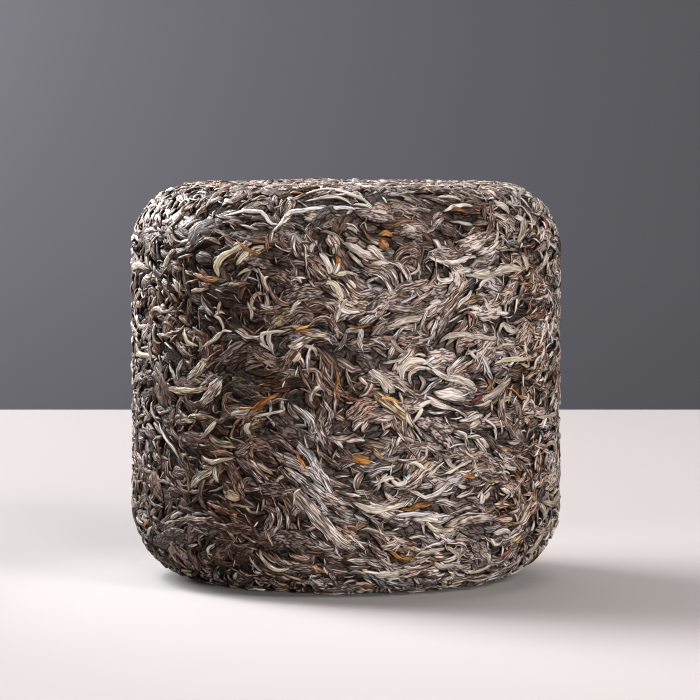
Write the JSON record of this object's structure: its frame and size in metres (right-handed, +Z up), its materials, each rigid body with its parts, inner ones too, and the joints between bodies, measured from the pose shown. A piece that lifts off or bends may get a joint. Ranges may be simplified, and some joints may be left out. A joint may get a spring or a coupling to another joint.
{
  "type": "pressed tea cylinder",
  "caption": "Free-standing cylinder of dark tea leaves pressed into one solid block, with rounded top and base edges and a leafy, uneven skin.",
  "frame": {"origin": "middle of the flat base, on the surface that the block stands on", "axes": "+Z up along the block's axis, -Y towards the viewer of the picture, +X to the viewer's right"},
  "size_m": [0.1004, 0.1006, 0.0924],
  "materials": {
    "dried_leaf": "matte"
  },
  "bodies": {
    "root": {"tea_cylinder": "dried_leaf"}
  },
  "joints": []
}
